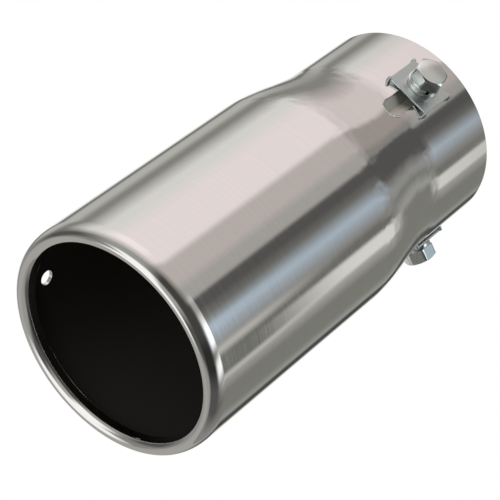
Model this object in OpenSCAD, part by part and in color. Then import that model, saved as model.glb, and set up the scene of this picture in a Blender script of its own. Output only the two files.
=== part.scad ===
// Slip-on exhaust tip: a polished one-piece stainless tube with a rolled outlet rim,
// held on a tailpipe by three bolted clamps that slide in slots in its narrower collar.
// It stands on its inlet end. +Z runs along the tube from the inlet to the outlet,
// and the origin is the centre of the inlet end.

/* [Shell] */
// Length from the inlet end to the outlet rim
tip_len = 148.6; // [120:0.2:240]
// Outer diameter of the main body
body_d = 76; // [62:0.5:110]
// Step from the body in to the collar that carries the clamps
neck_step = 3.9; // [2:0.1:8]
// Length of the straight collar
collar_len = 27.3; // [26:0.1:45]
// Length of the flare from the collar to the body
neck_len = 33.2; // [16:0.2:60]
// Thickness of the sheet
wall = 1.2; // [0.8:0.1:1.5]

/* [Outlet rim] */
// Radius of the rim's outer roll, outside the sheet
outer_roll_r = 2.6; // [2:0.1:6]
// Radius of the rim's inner curl, outside the sheet
inner_roll_r = 2.7; // [1.6:0.1:4]
// Length of the lip that is turned back inside the outlet
lip_len = 2; // [1:0.5:12]

/* [Slots and drain] */
// Distance from a bolt's axis back to the rear end of its slot
slot_back = 4.2; // [4:0.1:10]
// Distance from a bolt's axis forward to the front end of its slot
slot_front = 18.9; // [8:0.1:22]
// Play of a bolt across its slot
slot_play = 0.5; // [0.2:0.1:1.5]
// Diameter of the drain hole near the outlet
drain_d = 4.8; // [3:0.1:8]
// Distance from the outlet rim back to the drain hole's centre
drain_setback = 13.9; // [12:0.1:40]

/* [Bolts] */
// Distance from the inlet end to the bolts' axes
clamp_z = 15.7; // [14:0.1:20]
// Shank diameter of a bolt
bolt_d = 6; // [5:0.1:7]
// Width of the hexagon head across its flats
head_af = 9.8; // [9:0.1:12]
// Height of the hexagon head
head_h = 4.4; // [2.5:0.1:6]
// Diameter of the flat round top inside the head's chamfer
head_top_d = 9.6; // [7:0.1:9.8]
// Length of the chamfer at the bolt's end
bolt_end_chamfer = 0.5; // [0.2:0.1:1]
// How far the bolt's end stands out of the nut plate
bolt_reach = 1.4; // [0.8:0.1:3]

/* [Washers] */
// Outer diameter of the flat washer
flat_washer_d = 10.8; // [10:0.1:13]
// Thickness of the flat washer
flat_washer_t = 1.2; // [0.6:0.1:2]
// Outer diameter of the split spring washer
spring_washer_d = 10.2; // [9.6:0.1:13]
// Thickness of the spring washer, pressed flat
spring_washer_t = 1.5; // [0.8:0.1:2.2]
// Width of the spring washer's split
spring_split = 0.9; // [0.4:0.1:2]
// Play of the bolt in a washer
washer_play = 0.4; // [0.1:0.1:1]

/* [Saddle plate] */
// Width of the plate across the collar
plate_w = 16.4; // [14:0.2:22]
// Length of the plate along the collar
plate_l = 14; // [13:0.1:18]
// How far the plate's middle stands ahead of its bolt hole
plate_shift = 1.2; // [0:0.1:1.5]
// Thickness of the plate
plate_t = 0.8; // [0.6:0.1:2]
// Gap between the collar and the middle of the plate
plate_rise = 0.1; // [0:0.1:3]
// Diameter of the feet under the plate's corners
foot_d = 1.8; // [1.2:0.1:3]
// Distance from a foot's centre in to the plate's edges
foot_inset = 0.2; // [0:0.1:1]
// Play of the bolt in the plate's hole
plate_hole_play = 0.6; // [0.2:0.1:1.5]

/* [Nut plate and shoe] */
// Thickness of the nut plate at its middle
nut_t = 4.5; // [3:0.1:6]
// Distance from a bolt's axis back to the rear end of its nut plate
nut_back = 10.7; // [5:0.1:11]
// Distance from a bolt's axis forward to the front end of its nut plate
nut_front = 20.3; // [9:0.1:24]
// Depth of the groove along the nut plate's outer face
groove_depth = 1.7; // [0.5:0.1:2]
// Width of that groove
groove_w = 7.2; // [4:0.1:8]
// Width of the clamp shoe around the tailpipe
shoe_w = 20; // [18:0.5:24]
// Length of the clamp shoe along the tailpipe
shoe_l = 26; // [18:0.5:30]
// Thickness of the shoe's sheet
shoe_t = 1.2; // [0.8:0.1:1.8]
// Depth of the seat pressed into the shoe for the bolt's end
shoe_seat = 0.3; // [0.3:0.1:0.6]
// Diameter of that seat
shoe_seat_d = 7; // [6.8:0.1:8]
// Gap between the nut plate and each wall of the shoe
nut_play = 0.2; // [0.1:0.1:0.5]
// Gap between the shoe's walls and the inside of the collar
shoe_gap = 0.2; // [0.1:0.1:1]

/* [Hidden] */
$fn = 96;
neck_steps = 14;
roll_steps = 8;
over = 1; // how far cutters run past what they cut
clamp_count = 3; // clamps, and slots with them, evenly round the collar
first_clamp_angle = 150;
drain_angle = 270;
spring_split_angle = 225;
head_turns = [13, 0, 40]; // where each bolt came to rest when it was tightened

body_r = body_d / 2;
collar_r = body_r - neck_step;
collar_in = collar_r - wall;
mouth_r = body_r - outer_roll_r - inner_roll_r;
drain_z = tip_len - drain_setback;
slot_w = bolt_d + slot_play;

// Heights in the clamp stack, measured out from the tube's axis
plate_seat_h = collar_r + plate_rise + plate_t;
spring_seat_h = plate_seat_h + flat_washer_t;
head_seat_h = spring_seat_h + spring_washer_t;
nut_in_h = collar_in - nut_t;
tip_h = nut_in_h - bolt_reach;
shoe_out_r = tip_h + shoe_seat;
shoe_in_r = shoe_out_r - shoe_t;
bolt_len = head_seat_h - tip_h;

nut_w = shoe_w - 2 * (shoe_t + nut_play);
head_across = head_af / cos(30);
head_chamfer = (head_across - head_top_d) / 2 * tan(30);

function clamp_angle(index) = first_clamp_angle - index * 360 / clamp_count;

// Points of an arc round a centre, from one angle to another
function arc(centre, radius, from, to, steps) = [
    for (i = [0 : steps])
        let (a = from + (to - from) * i / steps)
        centre + radius * [cos(a), sin(a)]
];

// Flare between two radii with no kink at either end, as [radius, z] points
function flare(from_r, to_r, steps) = [
    for (i = [0 : steps])
        let (t = i / steps)
        [from_r + (to_r - from_r) * t * t * (3 - 2 * t), collar_len + neck_len * t]
];

function reversed(points) = [for (i = [len(points) - 1 : -1 : 0]) points[i]];

// Half section of the sheet, as [radius, z] points
module shell_section() {
    roll_centre = [body_r - outer_roll_r, tip_len - outer_roll_r];
    curl_centre = [body_r - outer_roll_r, tip_len - inner_roll_r];
    outside = concat(
        [[collar_r, 0]],
        flare(collar_r, body_r, neck_steps),
        arc(roll_centre, outer_roll_r, 0, 90, roll_steps),
        arc(curl_centre, inner_roll_r, 90, 180, roll_steps),
        [[mouth_r, curl_centre.y - lip_len]]
    );
    inside = concat(
        [[collar_in, 0]],
        flare(collar_in, body_r - wall, neck_steps),
        arc(roll_centre, outer_roll_r - wall, 0, 90, roll_steps),
        arc(curl_centre, inner_roll_r - wall, 90, 180, roll_steps),
        [[mouth_r + wall, curl_centre.y - lip_len]]
    );
    polygon(concat(outside, reversed(inside)));
}

// Stands its children on the tube's wall, their Z axis pointing out from the tube's axis
module outward(h = 0) {
    translate([h, 0, 0]) rotate([0, 90, 0]) children();
}

// Slot with round ends, cut through the wall on the +X side
module slot_cutter() {
    reach = body_r + over;
    first = clamp_z - slot_back + slot_w / 2;
    last = clamp_z + slot_front - slot_w / 2;
    for (z = [first, last])
        translate([0, 0, z]) outward() cylinder(d = slot_w, h = reach);
    translate([0, -slot_w / 2, first]) cube([reach, slot_w, last - first]);
}

module at_clamp(index) {
    rotate([0, 0, clamp_angle(index)]) children();
}

// Clamp pieces drawn about the tube's axis, with the bolt's axis at z = 0
module clamped(index) {
    at_clamp(index) translate([0, 0, clamp_z]) children();
}

// Turned pieces drawn about their own axis, with their seat at z = 0
module on_bolt_axis(index, seat_h) {
    clamped(index) outward(seat_h) children();
}

// One sheet from end to end: collar, flare, body and the rolled rim with its lip
module tip_shell() {
    color([0.80, 0.79, 0.77]) difference() {
        rotate_extrude() shell_section();
        for (index = [0 : clamp_count - 1]) at_clamp(index) slot_cutter();
        rotate([0, 0, drain_angle]) translate([0, 0, drain_z]) outward()
            cylinder(d = drain_d, h = body_r + over);
    }
}

module hex_bolt(head_turn) {
    shank = bolt_len - bolt_end_chamfer;
    color([0.75, 0.75, 0.74]) union() {
        rotate([0, 0, head_turn]) intersection() {
            cylinder(d = head_across, h = head_h, $fn = 6);
            union() {
                cylinder(d = head_across + over, h = head_h - head_chamfer);
                translate([0, 0, head_h - head_chamfer])
                    cylinder(d1 = head_across, d2 = head_top_d, h = head_chamfer);
            }
        }
        translate([0, 0, -shank]) cylinder(d = bolt_d, h = shank);
        translate([0, 0, -bolt_len])
            cylinder(d1 = bolt_d - 2 * bolt_end_chamfer, d2 = bolt_d, h = bolt_end_chamfer);
    }
}

module washer_ring(outer_d, thickness) {
    difference() {
        cylinder(d = outer_d, h = thickness);
        translate([0, 0, -over]) cylinder(d = bolt_d + washer_play, h = thickness + 2 * over);
    }
}

module flat_washer() {
    color([0.70, 0.70, 0.69]) washer_ring(flat_washer_d, flat_washer_t);
}

module spring_washer() {
    color([0.62, 0.62, 0.61]) difference() {
        washer_ring(spring_washer_d, spring_washer_t);
        rotate([0, 0, spring_split_angle]) translate([0, -spring_split / 2, -over])
            cube([spring_washer_d, spring_split, spring_washer_t + 2 * over]);
    }
}

// Flat plate with a round foot under each corner, its end shaped to the collar
module saddle_plate() {
    middle = plate_shift;
    color([0.68, 0.68, 0.67]) difference() {
        union() {
            translate([plate_seat_h - plate_t, -plate_w / 2, middle - plate_l / 2])
                cube([plate_t, plate_w, plate_l]);
            for (side = [-1, 1], end = [-1, 1])
                translate([0, side * (plate_w / 2 - foot_inset), middle + end * (plate_l / 2 - foot_inset)])
                    outward(collar_in) cylinder(d = foot_d, h = plate_seat_h - collar_in);
        }
        translate([0, 0, -plate_l]) cylinder(r = collar_r, h = 2 * plate_l + plate_shift);
        outward() cylinder(d = bolt_d + plate_hole_play, h = plate_seat_h + over);
    }
}

// Threaded plate that bears on the inside of the collar under its whole slot,
// with a groove along its outer face
module nut_plate() {
    nut_l = nut_back + nut_front;
    bottom = collar_in - groove_depth;
    color([0.66, 0.66, 0.64]) difference() {
        intersection() {
            translate([nut_in_h, -nut_w / 2, -nut_back]) cube([nut_t + over, nut_w, nut_l]);
            translate([0, 0, -nut_back]) cylinder(r = collar_in, h = nut_l);
        }
        translate([0, 0, -nut_back - over]) linear_extrude(nut_l + 2 * over)
            polygon([
                [bottom, 0],
                [bottom + 2 * groove_depth, -groove_w],
                [bottom + 2 * groove_depth, groove_w]
            ]);
        outward() cylinder(d = bolt_d, h = collar_r);
    }
}

// Pressed channel that keeps the nut plate from turning and bears on the tailpipe
module clamp_shoe() {
    inner_w = shoe_w - 2 * shoe_t;
    color([0.60, 0.60, 0.58]) difference() {
        translate([0, 0, -shoe_l / 2]) linear_extrude(shoe_l) difference() {
            intersection() {
                circle(r = collar_in - shoe_gap);
                translate([0, -shoe_w / 2]) square([collar_in, shoe_w]);
            }
            circle(r = shoe_in_r);
            difference() {
                translate([0, -inner_w / 2]) square([collar_in, inner_w]);
                circle(r = shoe_out_r);
            }
        }
        outward(tip_h) cylinder(d = shoe_seat_d, h = nut_t);
    }
}

tip_shell();
on_bolt_axis(0, head_seat_h) hex_bolt(head_turns[0]);  // hex_bolt_1
on_bolt_axis(0, spring_seat_h) spring_washer();  // spring_washer_1
on_bolt_axis(0, plate_seat_h) flat_washer();  // flat_washer_1
clamped(0) saddle_plate();  // saddle_plate_1
clamped(0) nut_plate();  // nut_plate_1
clamped(0) clamp_shoe();  // clamp_shoe_1
on_bolt_axis(1, head_seat_h) hex_bolt(head_turns[1]);  // hex_bolt_2
on_bolt_axis(1, spring_seat_h) spring_washer();  // spring_washer_2
on_bolt_axis(1, plate_seat_h) flat_washer();  // flat_washer_2
clamped(1) saddle_plate();  // saddle_plate_2
clamped(1) nut_plate();  // nut_plate_2
clamped(1) clamp_shoe();  // clamp_shoe_2
on_bolt_axis(2, head_seat_h) hex_bolt(head_turns[2]);  // hex_bolt_3
on_bolt_axis(2, spring_seat_h) spring_washer();  // spring_washer_3
on_bolt_axis(2, plate_seat_h) flat_washer();  // flat_washer_3
clamped(2) saddle_plate();  // saddle_plate_3
clamped(2) nut_plate();  // nut_plate_3
clamped(2) clamp_shoe();  // clamp_shoe_3
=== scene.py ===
import math

import bmesh
import bpy
from mathutils import Matrix, Vector


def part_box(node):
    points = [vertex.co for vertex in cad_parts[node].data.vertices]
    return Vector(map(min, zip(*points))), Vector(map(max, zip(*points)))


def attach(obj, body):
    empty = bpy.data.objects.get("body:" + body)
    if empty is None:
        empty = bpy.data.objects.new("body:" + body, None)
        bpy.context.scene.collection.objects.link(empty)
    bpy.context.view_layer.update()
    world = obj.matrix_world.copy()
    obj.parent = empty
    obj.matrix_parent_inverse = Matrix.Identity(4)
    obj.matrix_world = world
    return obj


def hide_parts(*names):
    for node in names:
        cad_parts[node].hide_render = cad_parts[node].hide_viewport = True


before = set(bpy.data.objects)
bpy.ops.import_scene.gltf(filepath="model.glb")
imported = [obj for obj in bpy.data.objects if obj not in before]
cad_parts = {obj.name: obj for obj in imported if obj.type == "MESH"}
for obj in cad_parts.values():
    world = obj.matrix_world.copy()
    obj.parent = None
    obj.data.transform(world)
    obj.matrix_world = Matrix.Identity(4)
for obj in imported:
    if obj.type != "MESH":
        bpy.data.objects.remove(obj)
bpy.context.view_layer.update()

mm = 0.001
clampCount = 3
sharpAngle = math.radians(32)  # steeper folds keep a hard shading edge
roundSteps = 4  # steps in a small rounded edge
mergeDistance = 1e-7
outward = Matrix.Rotation(math.pi / 2, 4, "Y")  # turns a piece's Z to point along X


# Colour and node helpers

def linearColour(hexCode):
    # The sRGB standard's own two-part curve
    channels = [int(hexCode[i:i + 2], 16) / 255 for i in (0, 2, 4)]
    linear = [c / 12.92 if c <= 0.04045 else ((c + 0.055) / 1.055) ** 2.4 for c in channels]
    return (*linear, 1.0)


def addNode(tree, kind, settings=None, links=None):
    node = tree.nodes.new(kind)
    for key, value in (settings or {}).items():
        if isinstance(key, str) and hasattr(node, key):
            setattr(node, key, value)
        else:
            node.inputs[key].default_value = value
    for socket, source in (links or {}).items():
        tree.links.new(source, node.inputs[socket])
    return node


def setRamp(node, stops):
    ramp = node.color_ramp
    while len(ramp.elements) > 1:
        ramp.elements.remove(ramp.elements[-1])
    ramp.elements[0].position, ramp.elements[0].color = stops[0]
    for place, colour in stops[1:]:
        ramp.elements.new(place).color = colour


def newMaterial(name):
    material = bpy.data.materials.new(name)
    material.use_nodes = True
    tree = material.node_tree
    shader = tree.nodes["Principled BSDF"]
    return material, tree, shader


# Materials

noiseSpread = {"From Min": 0.3, "From Max": 0.7}  # nearly all of a noise lies in between


def polishedStainless():
    # 1.2 mm stainless sheet, spun and then polished on a wheel: a near mirror whose fine
    # lines run round the tube, a little lighter and darker, and blur it a little lengthwise
    look = dict(
        darkLine="e6e5e4", lightLine="e9e8e7", darkAt=0.35, lightAt=0.65, roughness=0.08,
        roughnessSwing=0.02, lineSpacing=0.35 * mm, lineLength=250 / 3 * mm, lineStrength=0.07,
        lineDepth=0.02 * mm, dentWidth=5 * mm, dentDepth=0.04 * mm, dentTop=100 * mm,
        # Heights in mm, each with its share of the dents' depth
        dentZone=[(26, 0), (31, 1), (37, 0.3), (52, 0.3), (58, 1), (66, 0)],
    )
    material, tree, shader = newMaterial("polished stainless")
    shader.inputs["Metallic"].default_value = 1.0
    place = addNode(tree, "ShaderNodeTexCoord").outputs["Object"]
    along = 1 / look["lineLength"]
    stretched = addNode(tree, "ShaderNodeMapping",
                        {"Scale": (along, along, 1 / look["lineSpacing"])}, {"Vector": place})
    lines = addNode(tree, "ShaderNodeTexNoise",
                    {"Scale": 1.0, "Detail": 2.0}, {"Vector": stretched.outputs["Vector"]})
    tint = addNode(tree, "ShaderNodeValToRGB", None, {"Fac": lines.outputs["Fac"]})
    setRamp(tint, [(look["darkAt"], linearColour(look["darkLine"])),
                   (look["lightAt"], linearColour(look["lightLine"]))])
    tree.links.new(tint.outputs["Color"], shader.inputs["Base Color"])
    rough = addNode(tree, "ShaderNodeMapRange",
                    {**noiseSpread, "To Min": look["roughness"] - look["roughnessSwing"],
                     "To Max": look["roughness"] + look["roughnessSwing"]},
                    {"Value": lines.outputs["Fac"]})
    tree.links.new(rough.outputs["Result"], shader.inputs["Roughness"])
    # Shallow dents left by the forming tools at both ends of the flare
    height = addNode(tree, "ShaderNodeSeparateXYZ", None, {"Vector": place}).outputs["Z"]
    rise = addNode(tree, "ShaderNodeMapRange", {"From Min": 0.0, "From Max": look["dentTop"]},
                   {"Value": height})
    zone = addNode(tree, "ShaderNodeValToRGB", None, {"Fac": rise.outputs["Result"]})
    setRamp(zone, [(z * mm / look["dentTop"], (on, on, on, 1)) for z, on in look["dentZone"]])
    dents = addNode(tree, "ShaderNodeTexNoise",
                    {"Scale": 1 / look["dentWidth"], "Detail": 1.0}, {"Vector": place})
    swing = addNode(tree, "ShaderNodeMapRange", {**noiseSpread, "To Min": -1.0},
                    {"Value": dents.outputs["Fac"]})
    dented = addNode(tree, "ShaderNodeMath", {"operation": "MULTIPLY"},
                     {0: swing.outputs["Result"], 1: zone.outputs["Color"]})
    uneven = addNode(tree, "ShaderNodeBump", {"Strength": 1.0, "Distance": look["dentDepth"]},
                     {"Height": dented.outputs["Value"]})
    bump = addNode(tree, "ShaderNodeBump",
                   {"Strength": look["lineStrength"], "Distance": look["lineDepth"]},
                   {"Height": lines.outputs["Fac"], "Normal": uneven.outputs["Normal"]})
    tree.links.new(bump.outputs["Normal"], shader.inputs["Normal"])
    return material


def paintedShadeInside():
    # The sheet's inner side, left unpolished and coloured near black as painted shade for the
    # shade inside the tube: it gives back almost no light
    look = dict(colour="383634", roughness=0.55)
    material, tree, shader = newMaterial("inner wall painted shade")
    shader.inputs["Roughness"].default_value = look["roughness"]
    shader.inputs["Base Color"].default_value = linearColour(look["colour"])
    return material


def pressedSteel(name, colour, roughness, grain, swing=0.04):
    # Formed steel, a little rougher and smoother by turns from grain to grain
    material, tree, shader = newMaterial(name)
    shader.inputs["Base Color"].default_value = linearColour(colour)
    shader.inputs["Metallic"].default_value = 1.0
    place = addNode(tree, "ShaderNodeTexCoord").outputs["Object"]
    grains = addNode(tree, "ShaderNodeTexNoise",
                     {"Scale": 1 / grain, "Detail": 2.0}, {"Vector": place})
    rough = addNode(tree, "ShaderNodeMapRange",
                    {**noiseSpread, "To Min": roughness - swing, "To Max": roughness + swing},
                    {"Value": grains.outputs["Fac"]})
    tree.links.new(rough.outputs["Result"], shader.inputs["Roughness"])
    return material


# Mesh helpers

def arcPoints(centre, radius, start, end, steps):
    angles = [math.radians(start + (end - start) * i / steps) for i in range(steps + 1)]
    return [(centre[0] + radius * math.cos(a), centre[1] + radius * math.sin(a)) for a in angles]


def closedLoop(bm, points):
    verts = [bm.verts.new(point) for point in points]
    edges = [bm.edges.new(pair) for pair in zip(verts, verts[1:] + verts[:1])]
    return verts, edges


def fillEnds(bm):
    bmesh.ops.holes_fill(bm, edges=[e for e in bm.edges if e.is_boundary], sides=0)


def spinLoop(bm, points, steps, angle=math.tau):
    # Turns a closed section of (radius, z) points about Z
    verts, edges = closedLoop(bm, [(r, 0, z) for r, z in points])
    bmesh.ops.spin(bm, geom=verts + edges, axis=(0, 0, 1), cent=(0, 0, 0), angle=angle,
                   steps=steps, use_merge=angle >= math.tau)
    if angle < math.tau:
        fillEnds(bm)
    bmesh.ops.remove_doubles(bm, verts=bm.verts, dist=mergeDistance)
    bmesh.ops.recalc_face_normals(bm, faces=bm.faces)


def skinRows(bm, rows):
    # Closed surface over rows of points, with a flat cap on the first and the last row
    loops = [closedLoop(bm, row)[1] for row in rows]
    for lower, upper in zip(loops, loops[1:]):
        bmesh.ops.bridge_loops(bm, edges=lower + upper)
    bmesh.ops.holes_fill(bm, edges=loops[0] + loops[-1], sides=0)
    bmesh.ops.recalc_face_normals(bm, faces=bm.faces)


def addRod(bm, radius, length, steps):
    # Plain rod along Z, centred on the origin
    rod = bmesh.ops.create_cone(bm, cap_ends=True, segments=steps, radius1=radius,
                                radius2=radius, depth=length)
    return rod["verts"]


def roundedBar(low, high, bottom, top, edge):
    # Section of a flat ring with rounded corners
    corners = [((high - edge, top - edge), 0), ((low + edge, top - edge), 90),
               ((low + edge, bottom + edge), 180), ((high - edge, bottom + edge), 270)]
    points = []
    for centre, start in corners:
        points += arcPoints(centre, edge, start, start + 90, roundSteps)
    return points


def toObject(bm, name, materials=()):
    mesh = bpy.data.meshes.new(name)
    bm.to_mesh(mesh)
    bm.free()
    mesh.shade_smooth()
    mesh.set_sharp_from_angle(angle=sharpAngle)
    piece = bpy.data.objects.new(name, mesh)
    bpy.context.scene.collection.objects.link(piece)
    for material in materials:
        mesh.materials.append(material)
    return piece


def bakeModifiers(piece):
    graph = bpy.context.evaluated_depsgraph_get()
    baked = bpy.data.meshes.new_from_object(piece.evaluated_get(graph))
    piece.modifiers.clear()
    old = piece.data
    piece.data = baked
    baked.name = old.name
    bpy.data.meshes.remove(old)


def cutWith(piece, cutter):
    cut = piece.modifiers.new("cut", "BOOLEAN")
    cut.operation = "DIFFERENCE"
    cut.solver = "EXACT"
    cut.object = cutter
    bakeModifiers(piece)
    bpy.data.objects.remove(cutter)


def settleNormals(piece):
    # Lets the large smooth faces set the shading beside small rounded edges
    piece.data.set_sharp_from_angle(angle=sharpAngle)
    even = piece.modifiers.new("even shading", "WEIGHTED_NORMAL")
    even.keep_sharp = True
    bakeModifiers(piece)


def install(piece, node):
    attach(piece, "root")
    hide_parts(node)


# Places in the clamp stack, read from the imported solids

def stackSpan(kind):
    # The last clamp points along -Y, so its box gives heights out from the tube's axis
    low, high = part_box(f"{kind}_{clampCount}")
    return -high[1], -low[1]


def clampStation(index):
    # A clamp's turn round the tube and its height above the inlet
    low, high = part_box(f"flat_washer_{index}")
    middle = (Vector(low) + Vector(high)) / 2
    return math.atan2(middle.y, middle.x), middle.z


def clampPlace(index):
    # Z axis of a turned piece to the bolt's axis, with its origin on the tube's axis
    turn, height = clampStation(index)
    return Matrix.Rotation(turn, 4, "Z") @ Matrix.Translation((0, 0, height)) @ outward


# Shell: one sheet from the collar to the rolled rim

shell = dict(
    length=148.6 * mm, bodyRadius=38 * mm, collarRadius=34.1 * mm, collarLength=27.3 * mm,
    neckLength=33.2 * mm, wall=1.2 * mm, outerRoll=2.6 * mm, rollLength=5.6 * mm,
    innerRoll=2.7 * mm, lip=2 * mm, lipRound=0.3 * mm, endRound=0.25 * mm, slotStart=11.5 * mm,
    slotLength=23.1 * mm, slotWidth=6.5 * mm, slotRound=0.4 * mm, drainWidth=4.8 * mm,
    drainSetback=13.9 * mm,
    steps=288, neckSteps=36, rollSteps=14, slotSteps=24, slotRoundTurns=(20, 40, 60, 80),
    drainSteps=40,
    # Past the sheet the slot's cutter opens out by these shares of its rounded edge
    cutterRise=0.3, cutterSpread=1.4,
    inwardShare=0.3,  # how far a face leans to the axis before it counts as the inner wall
)


def flareShare(z):
    # Smooth rise from the collar's end to the body
    t = min(max((z - shell["collarLength"]) / shell["neckLength"], 0), 1)
    return t * t * (3 - 2 * t)


def flare(startRadius, endRadius):
    points = []
    for i in range(shell["neckSteps"] + 1):
        z = shell["collarLength"] + shell["neckLength"] * i / shell["neckSteps"]
        points.append((startRadius + (endRadius - startRadius) * flareShare(z), z))
    return points


def shellSection():
    wall, edge, steps = shell["wall"], shell["endRound"], shell["rollSteps"]
    rollRadius, curlRadius = shell["outerRoll"], shell["innerRoll"]
    crest = shell["bodyRadius"] - rollRadius
    curlCentre = (crest, shell["length"] - curlRadius)
    mouth = crest - curlRadius
    inner = shell["collarRadius"] - wall
    lipEnd = curlCentre[1] - shell["lip"]
    points = arcPoints((shell["collarRadius"] - edge, edge), edge, -90, 0, roundSteps)
    points += flare(shell["collarRadius"], shell["bodyRadius"])
    # The sheet starts to bend well before the rim, so its outer roll is longer than deep
    stretch = shell["rollLength"]
    for x, y in arcPoints((0, 0), 1.0, 0, 90, 2 * steps):
        points.append((crest + rollRadius * x, shell["length"] - stretch + stretch * y))
    points += arcPoints(curlCentre, curlRadius, 90, 180, steps)[1:]
    tuck = shell["lipRound"]
    points += arcPoints((mouth + tuck, lipEnd + tuck), tuck, 180, 270, roundSteps)
    points += arcPoints((mouth + wall - tuck, lipEnd + tuck), tuck, 270, 360, roundSteps)
    points += arcPoints(curlCentre, curlRadius - wall, 180, 90, steps)
    points += arcPoints((crest, shell["length"] - rollRadius), rollRadius - wall, 90, 0, steps)
    points += flare(inner, shell["bodyRadius"] - wall)[::-1]
    points += arcPoints((inner + edge, edge), edge, 180, 270, roundSteps)
    return points


def slotRow(rise, spread):
    # Outline of a slot with round ends, laid at a height over the sheet's outer side
    radius = shell["slotWidth"] / 2
    low = shell["slotStart"] + radius
    high = shell["slotStart"] + shell["slotLength"] - radius
    outline = (arcPoints((0, low), radius + spread, 180, 360, shell["slotSteps"])
               + arcPoints((0, high), radius + spread, 0, 180, shell["slotSteps"]))
    row = []
    for y, z in outline:
        step = (shell["bodyRadius"] - shell["collarRadius"]) * flareShare(z)
        reach = shell["collarRadius"] + step + rise
        row.append((math.sqrt(reach ** 2 - y ** 2), y, z))
    return row


def slotCutter():
    bm = bmesh.new()
    edge = shell["slotRound"]
    rows = [slotRow(-2 * shell["wall"], 0), slotRow(-edge, 0)]
    for turn in shell["slotRoundTurns"]:
        angle = math.radians(turn)
        rows.append(slotRow(-edge * (1 - math.sin(angle)), edge * (1 - math.cos(angle))))
    rows.append(slotRow(shell["cutterRise"] * edge, shell["cutterSpread"] * edge))
    skinRows(bm, rows)
    return bm


def drainCutter():
    bm = bmesh.new()
    addRod(bm, shell["drainWidth"] / 2, shell["bodyRadius"], shell["drainSteps"])
    height = shell["length"] - shell["drainSetback"]
    place = Matrix.Translation((shell["bodyRadius"], 0, height)) @ outward
    bmesh.ops.transform(bm, matrix=place, verts=bm.verts)
    return bm


def shellCutter():
    # A slot for each clamp, and the drain hole in line with the last one
    parts = [(slotCutter(), index) for index in range(1, clampCount + 1)]
    parts.append((drainCutter(), clampCount))
    joined = bmesh.new()
    for part, index in parts:
        turn = clampStation(index)[0]
        bmesh.ops.transform(part, matrix=Matrix.Rotation(turn, 4, "Z"), verts=part.verts)
        bmesh.ops.recalc_face_normals(part, faces=part.faces)
        mesh = bpy.data.meshes.new("cutter")
        part.to_mesh(mesh)
        part.free()
        joined.from_mesh(mesh)
        bpy.data.meshes.remove(mesh)
    return toObject(joined, "shell_cutter")


def paintShadeInside(piece):
    # The faces that look at the axis take the inner wall's painted shade, apart from the lip,
    # which is polished like the rim
    lipEnd = shell["length"] - shell["innerRoll"] - shell["lip"]
    lipReach = shell["bodyRadius"] - shell["outerRoll"]
    for face in piece.data.polygons:
        centre, normal = face.center, face.normal
        reach = math.hypot(centre.x, centre.y)
        inward = centre.x * normal.x + centre.y * normal.y < -shell["inwardShare"] * reach
        onLip = centre.z > lipEnd and reach < lipReach
        face.material_index = 1 if inward and not onLip else 0


def makeShell(outside, inside):
    bm = bmesh.new()
    spinLoop(bm, shellSection(), shell["steps"])
    piece = toObject(bm, "tube_shell", (outside, inside))
    cutWith(piece, shellCutter())
    # The inner wall's faces get the near-black colour that paints the shade inside the tube
    paintShadeInside(piece)
    settleNormals(piece)
    install(piece, "tip_shell")


# Hexagon bolt

bolt = dict(
    acrossFlats=9.8 * mm, topWidth=9.2 * mm, headHeight=4.4 * mm, seatEdge=0.15 * mm,
    cornerCut=0.1 * mm, chamferAngle=30, chamferDepth=0.6 * mm, topEdge=0.03 * mm,
    topInset=0.06 * mm, headTurns=(13, 0, 40), headSteps=96, chamferStep=0.055 * mm,
    chamferRows=10,
    radius=3 * mm, pitch=1.0 * mm, threadDepth=0.55 * mm, crestShares=(0.45, 0.55),
    threadSteps=24, coreSteps=32,
)


def headRadius(angle, height):
    # Hexagon with blunted corners under the chamfer's cone
    flat = bolt["acrossFlats"] / 2
    fold = (angle + math.pi / 6) % (math.pi / 3) - math.pi / 6
    hexagon = flat / math.cos(math.pi / 6 - abs(fold))
    blunted = flat / math.cos(math.pi / 6) - bolt["cornerCut"]
    slope = math.tan(math.radians(bolt["chamferAngle"]))
    chamfer = bolt["topWidth"] / 2 + (bolt["headHeight"] - height) / slope
    return min(hexagon, blunted, chamfer)


def headRow(turn, height, inset=0):
    row = []
    for i in range(bolt["headSteps"]):
        angle = math.tau * i / bolt["headSteps"]
        reach = headRadius(angle, height) - inset
        row.append((reach * math.cos(angle + turn), reach * math.sin(angle + turn), height))
    return row


def addHead(bm, turn):
    top = bolt["headHeight"]
    rows = [headRow(turn, 0, bolt["seatEdge"]), headRow(turn, bolt["seatEdge"])]
    for i in range(bolt["chamferRows"]):
        rows.append(headRow(turn, top - bolt["chamferDepth"] + bolt["chamferStep"] * i))
    rows += [headRow(turn, top - bolt["topEdge"]), headRow(turn, top, bolt["topInset"])]
    skinRows(bm, rows)


def addShank(bm, length):
    # Threaded shank under the head: a coil of one thread's profile round a plain core
    pitch = bolt["pitch"]
    root = bolt["radius"] - bolt["threadDepth"]
    crests = [(bolt["radius"], share * pitch) for share in bolt["crestShares"]]
    profile = [(root, 0), *crests, (root, pitch)]
    verts, edges = closedLoop(bm, [(r, 0, z - length) for r, z in profile])
    turns = int(length / pitch) - 1
    bmesh.ops.spin(bm, geom=verts + edges, axis=(0, 0, 1), cent=(0, 0, 0),
                   angle=math.tau * turns, steps=bolt["threadSteps"] * turns,
                   dvec=(0, 0, pitch / bolt["threadSteps"]))
    fillEnds(bm)
    core = addRod(bm, root, length, bolt["coreSteps"])
    bmesh.ops.translate(bm, verts=core, vec=(0, 0, -length / 2))


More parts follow.
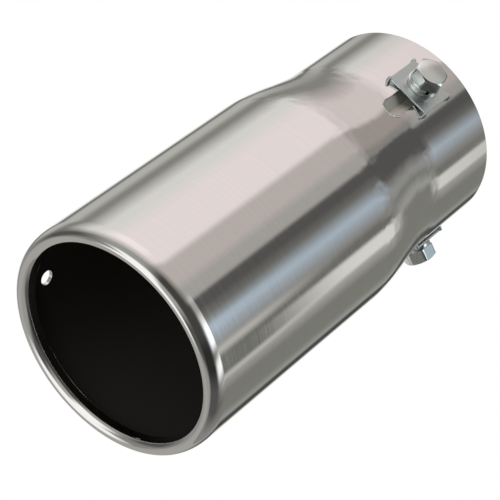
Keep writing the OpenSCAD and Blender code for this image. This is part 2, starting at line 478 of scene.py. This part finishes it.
def makeBolt(index, material):
    headSeat = stackSpan("spring_washer")[1]
    tip = stackSpan("hex_bolt")[0]
    bm = bmesh.new()
    addHead(bm, math.radians(bolt["headTurns"][index - 1]))
    addShank(bm, headSeat - tip)
    bmesh.ops.translate(bm, verts=bm.verts, vec=(0, 0, headSeat))
    bmesh.ops.transform(bm, matrix=clampPlace(index), verts=bm.verts)
    bmesh.ops.recalc_face_normals(bm, faces=bm.faces)
    piece = toObject(bm, f"bolt_{index}", (material,))
    install(piece, f"hex_bolt_{index}")


# Washers

washers = dict(bore=6.4 * mm, flatWidth=10.8 * mm, springWidth=10.2 * mm, split=0.9 * mm,
               splitTurn=225, edge=0.35 * mm, steps=72)


def makeFlatWasher(index, material):
    low, high = stackSpan("flat_washer")
    bm = bmesh.new()
    section = roundedBar(washers["bore"] / 2, washers["flatWidth"] / 2, low, high,
                         washers["edge"])
    spinLoop(bm, section, washers["steps"])
    bmesh.ops.transform(bm, matrix=clampPlace(index), verts=bm.verts)
    piece = toObject(bm, f"plain_washer_{index}", (material,))
    install(piece, f"flat_washer_{index}")


def makeSpringWasher(index, material):
    low, high = stackSpan("spring_washer")
    bm = bmesh.new()
    section = roundedBar(washers["bore"] / 2, washers["springWidth"] / 2, low, high,
                         washers["edge"])
    gap = 2 * washers["split"] / (washers["bore"] / 2 + washers["springWidth"] / 2)
    spinLoop(bm, section, washers["steps"], math.tau - gap)
    start = Matrix.Rotation(math.radians(washers["splitTurn"]) + gap / 2, 4, "Z")
    bmesh.ops.transform(bm, matrix=clampPlace(index) @ start, verts=bm.verts)
    piece = toObject(bm, f"split_washer_{index}", (material,))
    install(piece, f"spring_washer_{index}")


# Saddle plates

plate = dict(
    width=16.4 * mm, length=14 * mm, shift=1.2 * mm, thickness=0.8 * mm, edge=0.28 * mm,
    edgeSteps=3, hole=6.6 * mm, holeSteps=48, footWidth=1.4 * mm, footInset=0.2 * mm,
    footRound=0.2 * mm, footSteps=24, footRoundTurns=(0, 30, 60, 90),
)


def plateFoot(bm, x, y, top):
    # Round foot whose lower end follows the collar
    radius = plate["footWidth"] / 2
    edge = plate["footRound"]
    circle = arcPoints((0, 0), 1.0, 0, 360, plate["footSteps"])[:-1]
    seat = [(x + radius * u, y + radius * v) for u, v in circle]
    rows = [[(px, py, math.sqrt(shell["collarRadius"] ** 2 - py ** 2)) for px, py in seat]]
    for turn in plate["footRoundTurns"]:
        reach = radius - edge * (1 - math.cos(math.radians(turn)))
        height = top - edge * (1 - math.sin(math.radians(turn)))
        rows.append([(x + reach * u, y + reach * v, height) for u, v in circle])
    skinRows(bm, rows)


def makeSaddlePlate(index, material):
    top = stackSpan("saddle_plate")[1]
    place = clampPlace(index)
    sheet = bmesh.new()
    bmesh.ops.create_cube(sheet, size=1.0)
    size = (plate["length"], plate["width"], plate["thickness"])
    bmesh.ops.scale(sheet, vec=size, verts=sheet.verts)
    bmesh.ops.bevel(sheet, geom=list(sheet.edges), offset=plate["edge"],
                    segments=plate["edgeSteps"], profile=0.5, affect="EDGES", material=-1)
    middle = (-plate["shift"], 0, top - plate["thickness"] / 2)
    bmesh.ops.translate(sheet, vec=middle, verts=sheet.verts)
    bmesh.ops.transform(sheet, matrix=place, verts=sheet.verts)
    piece = toObject(sheet, f"clamp_plate_{index}", (material,))
    hole = bmesh.new()
    addRod(hole, plate["hole"] / 2, 4 * plate["thickness"], plate["holeSteps"])
    bmesh.ops.translate(hole, vec=(0, 0, top), verts=hole.verts)
    bmesh.ops.transform(hole, matrix=place, verts=hole.verts)
    cutWith(piece, toObject(hole, "hole_cutter"))
    feet = bmesh.new()
    for side in (-1, 1):
        for end in (-1, 1):
            plateFoot(feet, -plate["shift"] + end * (plate["length"] / 2 - plate["footInset"]),
                      side * (plate["width"] / 2 - plate["footInset"]), top)
    bmesh.ops.transform(feet, matrix=place, verts=feet.verts)
    feet.from_mesh(piece.data)
    feet.to_mesh(piece.data)
    feet.free()
    piece.data.shade_smooth()
    settleNormals(piece)
    install(piece, f"saddle_plate_{index}")


# Carried-over solids: nut plates and shoes

def dressNode(name, material):
    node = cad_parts[name]
    node.data.materials.clear()
    node.data.materials.append(material)


# Camera, placed as the photo's

camera = dict(place=(-0.35463, 0.30022, 0.47364), aim=(0.0274, -0.0200, 0.0564), up=(-1, 0, 0),
              lens=142.0, sensor=36, clipStart=10 * mm)


def makeCamera():
    data = bpy.data.cameras.new("camera")
    data.lens = camera["lens"]
    data.sensor_width = camera["sensor"]
    data.sensor_fit = "HORIZONTAL"
    data.clip_start = camera["clipStart"]
    lens = bpy.data.objects.new("camera", data)
    place = Vector(camera["place"])
    forward = (Vector(camera["aim"]) - place).normalized()
    right = forward.cross(Vector(camera["up"])).normalized()
    up = right.cross(forward)
    turn = Matrix((right, up, -forward)).transposed().to_4x4()
    lens.matrix_world = Matrix.Translation(place) @ turn
    bpy.context.scene.collection.objects.link(lens)
    bpy.context.scene.camera = lens


# The studio, in degrees round the tube's axis from the photo's straight up. Beside the
# tube stand light boxes and dark flags, each with its two edges, its tone and how soft its
# edges are. They end a little beyond the inlet. Before the mouth are the walls of a dim
# room, with bare lamps at the near ends of some boxes, and a light box hangs above the
# camera. A panel with no cover lets what is behind it show.

# Tones of the studio's things, as they look in the steel
tones = dict(
    hangingBox="f4f4f3", lamp="eaecec", warmBox="e0d6d4", lightBox="d1d0cb",
    warmBoxEnd="c9bfbc", litEdge="b3b2ad", warmWall="b3aba7", warmWallEnd="978f8a",
    leftWall="aaaaa5", coolWindow="a3b0bb", paleWall="9f9d99", wall="949490",
    dimWall="8a8a88", shade="807f7b",
    bench="75766f", gap="676763", farFlag="5d5d58", flag="504f4e", darkFlag="40403d",
    corner="2b2b2a", dark="000000",
)
beyondInlet = [
    dict(edges=(-180, -176), tone="shade", soft=2),  # far edge of the bench
    dict(edges=(-168, -162), tone="farFlag", soft=4),  # far end of the left flag
    dict(edges=(-150, -124), tone="litEdge", soft=8),  # far end of the left light box
    dict(edges=(-117, -108), tone="gap", soft=4),  # far end of the left gap
    dict(edges=(-100, -70), tone="shade", soft=4),  # wall on the left
    dict(edges=(-36, 8), tone="warmBoxEnd", soft=3),  # far end of the overhead box
    dict(edges=(12, 36), tone="warmWallEnd", soft=2),  # far end of the warm wall
    dict(edges=(42, 48), tone="shade", soft=2),  # dim end of the warm wall
    dict(edges=(50, 68), tone="flag", soft=2),  # dark flag
    dict(edges=(82, 92), tone="dimWall", soft=6),  # far end of the cool window
    dict(edges=(96, 98), tone="bench", soft=2),  # gap
    dict(edges=(110, 114), tone="wall", soft=2),  # far end of the right light box
    dict(edges=(121, 180), tone="bench", soft=0),  # bench
]
besideTube = [
    dict(edges=(-180, -178), tone="wall", soft=2),  # far edge of the bench
    dict(edges=(-174, -161), tone="darkFlag", soft=4),  # dark flag under the left side
    dict(edges=(-156, -119), tone="lightBox", soft=7),  # left light box
    dict(edges=(-117, -111), tone="gap", soft=2),  # left gap
    dict(edges=(-106, -92), tone="leftWall", soft=2),  # left wall
    dict(edges=(-85, -75), tone="shade", soft=4),  # left dim gap
    dict(edges=(-58, -46), tone="lightBox", soft=6),  # near end of the overhead box
    dict(edges=(-30, 8), tone="warmBox", soft=2),  # overhead box
    dict(edges=(12, 32), tone="warmWall", soft=2),  # warm wall
    dict(edges=(38, 50), tone="paleWall", soft=2),  # dim end of the warm wall
    dict(edges=(52, 61), tone="flag", soft=1),  # dark flag to the right
    dict(edges=(68, 70), tone="gap", soft=2),  # thin end of the flag
    dict(edges=(78, 88), tone="coolWindow", soft=10),  # cool window
    dict(edges=(97, 103), tone="shade", soft=6),  # pale strip beside the window
    dict(edges=(104, 112), tone="gap", soft=2),  # right gap
    dict(edges=(114, 128), tone="lightBox", soft=2),  # right light box
    dict(edges=(129, 131), tone="paleWall", soft=2),  # lit edge of the bench
    dict(edges=(143, 170), tone="bench", soft=3),  # bench
    dict(edges=(178, 180), tone="dimWall", soft=2),  # edge of the bench
]
nearEnds = [
    dict(edges=(-180, 71), tone="gap", soft=0, cover=0),  # clear on the left
    dict(edges=(77, 85), tone="coolWindow", soft=3),  # near end of the cool window
    dict(edges=(92, 94), tone="dimWall", soft=0, cover=0),  # clear between
    dict(edges=(100, 105), tone="litEdge", soft=3),  # lit edge of the flag
    dict(edges=(108, 126), tone="gap", soft=2),  # flag over the right light box
    dict(edges=(128, 131), tone="litEdge", soft=1),  # other lit edge of the flag
    dict(edges=(134, 180), tone="paleWall", soft=0, cover=0),  # clear on the right
]
beforeMouth = [
    dict(edges=(-178, -138), tone="paleWall", soft=8),  # left wall
    dict(edges=(-128, -112), tone="dimWall", soft=6),  # left wall further up
    dict(edges=(-95, -55), tone="flag", soft=16),  # left corner
    dict(edges=(-32, 6), tone="wall", soft=6),  # overhead
    dict(edges=(18, 82), tone="darkFlag", soft=8),  # dark wall behind the camera
    dict(edges=(88, 110), tone="corner", soft=4),  # darker corner
    dict(edges=(124, 152), tone="flag", soft=8),  # bench
    dict(edges=(166, 178), tone="shade", soft=6),  # far end of the bench
]
aboveCamera = [
    dict(edges=(-180, -115), tone="paleWall", soft=0),  # left wall
    dict(edges=(-95, -42), tone="shade", soft=8),  # left corner
    dict(edges=(-31, 14), tone="hangingBox", soft=8),  # hanging light box
    dict(edges=(20, 48), tone="paleWall", soft=6),  # wall over the camera
    dict(edges=(70, 106), tone="flag", soft=6),  # dark corner
    dict(edges=(124, 180), tone="wall", soft=4),  # right wall
]
bareLamps = [
    dict(edges=(-180, -50), tone="dark", soft=0),  # none on the left
    dict(edges=(-35, -5), tone="farFlag", soft=4),  # at the overhead box
    dict(edges=(2, 44), tone="dark", soft=0),  # none over the warm wall
    dict(edges=(50, 62), tone="dimWall", soft=4),  # at the end of the dark flag
    dict(edges=(72, 92), tone="lamp", soft=6),  # at the cool window
    dict(edges=(97, 103), tone="corner", soft=2),  # gap between the lamps
    dict(edges=(107, 117), tone="lamp", soft=3),  # at the right light box
    dict(edges=(128, 180), tone="dark", soft=0),  # none over the bench
]
worldLook = dict(
    steelReflectance=0.8,  # share of light the steel gives back, so the panels glow by more
    # View heights, from -1 straight down to 1 straight up, over which one ring takes over
    inletEnd=(-0.82, -0.70), nearEnd=(-0.665, -0.625), cameraEnd=(0.40, 0.60),
    lampBand=[(-0.60, 0), (-0.55, 1), (-0.38, 1), (-0.22, 0)],
    # Before the mouth the boxes end on a slant, so that ring goes by its own direction
    slant=(0.12, 0.10, 1.0), mouthEnd=(-0.45, -0.06),
    # Below this height the cool window and what is right of it lean over
    leanFrom=-0.69, leanSide=(52, 75),
    ceiling=(-0.045, -0.168, 0.985), ceilingEdge=25, ceilingSoft=5, ceilingTone="f4f4f2",
)
studioFloor = dict(radius=1.5, steps=64, tone="f4f4f2", roughness=0.9)
softLamp = dict(energy=0.6, size=0.5, place=(-0.7, 0.1, 0.5), aim=(0, 0, 0.075))
white = (1, 1, 1, 1)


def panelRamp(tree, share, panels):
    stops = []
    for panel in panels:
        start = panel["edges"][0] + panel["soft"] / 2
        end = panel["edges"][1] - panel["soft"] / 2
        tone = (*linearColour(tones[panel["tone"]])[:3], panel.get("cover", 1.0))
        stops += [(turn / 360 + 0.5, tone) for turn in sorted({start, end})]
    ramp = addNode(tree, "ShaderNodeValToRGB", None, {"Fac": share})
    setRamp(ramp, stops)
    return ramp


def turnRoundTube(tree, parts):
    # Turn of a view direction round the tube's axis, as a share of a whole turn
    up = addNode(tree, "ShaderNodeMath", {"operation": "MULTIPLY", 1: -1.0},
                 {0: parts.outputs["X"]})
    angle = addNode(tree, "ShaderNodeMath", {"operation": "ARCTAN2"},
                    {0: parts.outputs["Y"], 1: up.outputs["Value"]})
    # Low down, the window and what is right of it lean
    drop = addNode(tree, "ShaderNodeMath",
                   {"operation": "SUBTRACT", "use_clamp": True, 0: worldLook["leanFrom"]},
                   {1: parts.outputs["Z"]})
    sideStart, sideEnd = [math.radians(side) for side in worldLook["leanSide"]]
    side = addNode(tree, "ShaderNodeMapRange", {"From Min": sideStart, "From Max": sideEnd},
                   {"Value": angle.outputs["Value"]})
    lean = addNode(tree, "ShaderNodeMath", {"operation": "MULTIPLY"},
                   {0: drop.outputs["Value"], 1: side.outputs["Result"]})
    turn = addNode(tree, "ShaderNodeMath", {"operation": "SUBTRACT"},
                   {0: angle.outputs["Value"], 1: lean.outputs["Value"]})
    share = addNode(tree, "ShaderNodeMapRange", {"From Min": -math.pi, "From Max": math.pi},
                    {"Value": turn.outputs["Value"]})
    return share.outputs["Result"]


def makeWorld():
    world = bpy.data.worlds.new("studio")
    bpy.context.scene.world = world
    world.use_nodes = True
    tree = world.node_tree
    background = tree.nodes["Background"]
    way = addNode(tree, "ShaderNodeTexCoord").outputs["Generated"]
    parts = addNode(tree, "ShaderNodeSeparateXYZ", None, {"Vector": way})
    height = parts.outputs["Z"]
    share = turnRoundTube(tree, parts)
    slanted = addNode(tree, "ShaderNodeVectorMath",
                      {"operation": "DOT_PRODUCT", 1: worldLook["slant"]}, {0: way})
    level = addNode(tree, "ShaderNodeMapRange", {"From Min": -1.0, "From Max": 1.0},
                    {"Value": height})
    lampBand = addNode(tree, "ShaderNodeValToRGB", None, {"Fac": level.outputs["Result"]})
    setRamp(lampBand, [((z + 1) / 2, (on, on, on, 1)) for z, on in worldLook["lampBand"]])
    # From beyond the inlet to above the camera, each ring laid over the ones before it
    rings = [(besideTube, height, worldLook["inletEnd"], "MIX"),
             (nearEnds, height, worldLook["nearEnd"], "MIX"),
             (beforeMouth, slanted.outputs["Value"], worldLook["mouthEnd"], "MIX"),
             (bareLamps, lampBand.outputs["Color"], (0.0, 1.0), "ADD"),
             (aboveCamera, height, worldLook["cameraEnd"], "MIX")]
    room = panelRamp(tree, share, beyondInlet).outputs["Color"]
    for panels, measure, span, blend in rings:
        ring = panelRamp(tree, share, panels)
        reached = addNode(tree, "ShaderNodeMapRange", {"From Min": span[0], "From Max": span[1]},
                          {"Value": measure})
        cover = addNode(tree, "ShaderNodeMath", {"operation": "MULTIPLY"},
                        {0: reached.outputs["Result"], 1: ring.outputs["Alpha"]})
        laid = addNode(tree, "ShaderNodeMix", {"data_type": "RGBA", "blend_type": blend},
                       {"Factor": cover.outputs["Value"], "A": room, "B": ring.outputs["Color"]})
        room = laid.outputs["Result"]
    # Pale ceiling, in a round patch about its own direction
    toCeiling = addNode(tree, "ShaderNodeVectorMath",
                        {"operation": "DOT_PRODUCT", 1: worldLook["ceiling"]}, {0: way})
    edge, soft = worldLook["ceilingEdge"], worldLook["ceilingSoft"]
    onCeiling = addNode(tree, "ShaderNodeMapRange",
                        {"From Min": math.cos(math.radians(edge + soft)),
                         "From Max": math.cos(math.radians(edge - soft))},
                        {"Value": toCeiling.outputs["Value"]})
    studio = addNode(tree, "ShaderNodeMix",
                     {"data_type": "RGBA", "B": linearColour(worldLook["ceilingTone"])},
                     {"Factor": onCeiling.outputs["Result"], "A": room})
    # The camera itself sees the photo's white background
    path = addNode(tree, "ShaderNodeLightPath")
    shown = addNode(tree, "ShaderNodeMix", {"data_type": "RGBA", "B": white},
                    {"Factor": path.outputs["Is Camera Ray"], "A": studio.outputs["Result"]})
    strength = addNode(tree, "ShaderNodeMapRange",
                       {"To Min": 1 / worldLook["steelReflectance"], "To Max": 1.0},
                       {"Value": path.outputs["Is Camera Ray"]})
    tree.links.new(shown.outputs["Result"], background.inputs["Color"])
    tree.links.new(strength.outputs["Result"], background.inputs["Strength"])


def makeFloor():
    bm = bmesh.new()
    bmesh.ops.create_circle(bm, cap_ends=True, radius=studioFloor["radius"],
                            segments=studioFloor["steps"])
    floor = toObject(bm, "studio_floor")
    material, tree, shader = newMaterial("studio floor")
    shader.inputs["Base Color"].default_value = linearColour(studioFloor["tone"])
    shader.inputs["Roughness"].default_value = studioFloor["roughness"]
    # Plain white to the camera, as the photo's background is
    path = addNode(tree, "ShaderNodeLightPath")
    glow = addNode(tree, "ShaderNodeEmission", {"Color": white, "Strength": 1.0})
    mixed = addNode(tree, "ShaderNodeMixShader", None,
                    {0: path.outputs["Is Camera Ray"], 1: shader.outputs["BSDF"],
                     2: glow.outputs["Emission"]})
    tree.links.new(mixed.outputs["Shader"], tree.nodes["Material Output"].inputs["Surface"])
    floor.data.materials.append(material)
    floor.visible_glossy = False


def makeLamp():
    # Broad soft lamp for the inside, whose near-black colour is painted shade; the steel mirrors
    # only the studio above
    data = bpy.data.lights.new("soft_lamp", "AREA")
    data.energy = softLamp["energy"]
    data.size = softLamp["size"]
    lamp = bpy.data.objects.new("soft_lamp", data)
    place = Vector(softLamp["place"])
    turn = (Vector(softLamp["aim"]) - place).to_track_quat("-Z", "Y")
    lamp.matrix_world = Matrix.Translation(place) @ turn.to_matrix().to_4x4()
    lamp.visible_glossy = False
    bpy.context.scene.collection.objects.link(lamp)


makeCamera()
print("camera set")

stainless = polishedStainless()
# Inner wall material: a near-black colour that is painted shade
inside = paintedShadeInside()
# Bright stainless, cold formed: clear, slightly blurred mirror images with a cool cast
boltSteel = pressedSteel("cold formed stainless", "e8efee", 0.14, 0.6 * mm)
# Stainless strip pressed into washers, paler because their edges are tumbled smooth
washerSteel = pressedSteel("pressed stainless", "f2f3f1", 0.16, 0.5 * mm)
# Unpolished stainless sheet: a darker, bluish satin that sets it off from the tube
plateSteel = pressedSteel("satin stainless", "d6dfe0", 0.38, 0.4 * mm)
# Rolled strip left as it came from the mill: dull, with a faint yellow cast
innerSteel = pressedSteel("mill finish steel", "e6e5dc", 0.6, 0.5 * mm)

makeShell(stainless, inside)
print("shell made")

for clampIndex in range(1, clampCount + 1):
    makeBolt(clampIndex, boltSteel)
    makeFlatWasher(clampIndex, washerSteel)
    makeSpringWasher(clampIndex, washerSteel)
    makeSaddlePlate(clampIndex, plateSteel)
    dressNode(f"nut_plate_{clampIndex}", innerSteel)
    dressNode(f"clamp_shoe_{clampIndex}", innerSteel)
print("clamps made")

makeFloor()
makeWorld()
makeLamp()
bpy.context.scene.view_settings.view_transform = "Standard"
print("stage and light set")
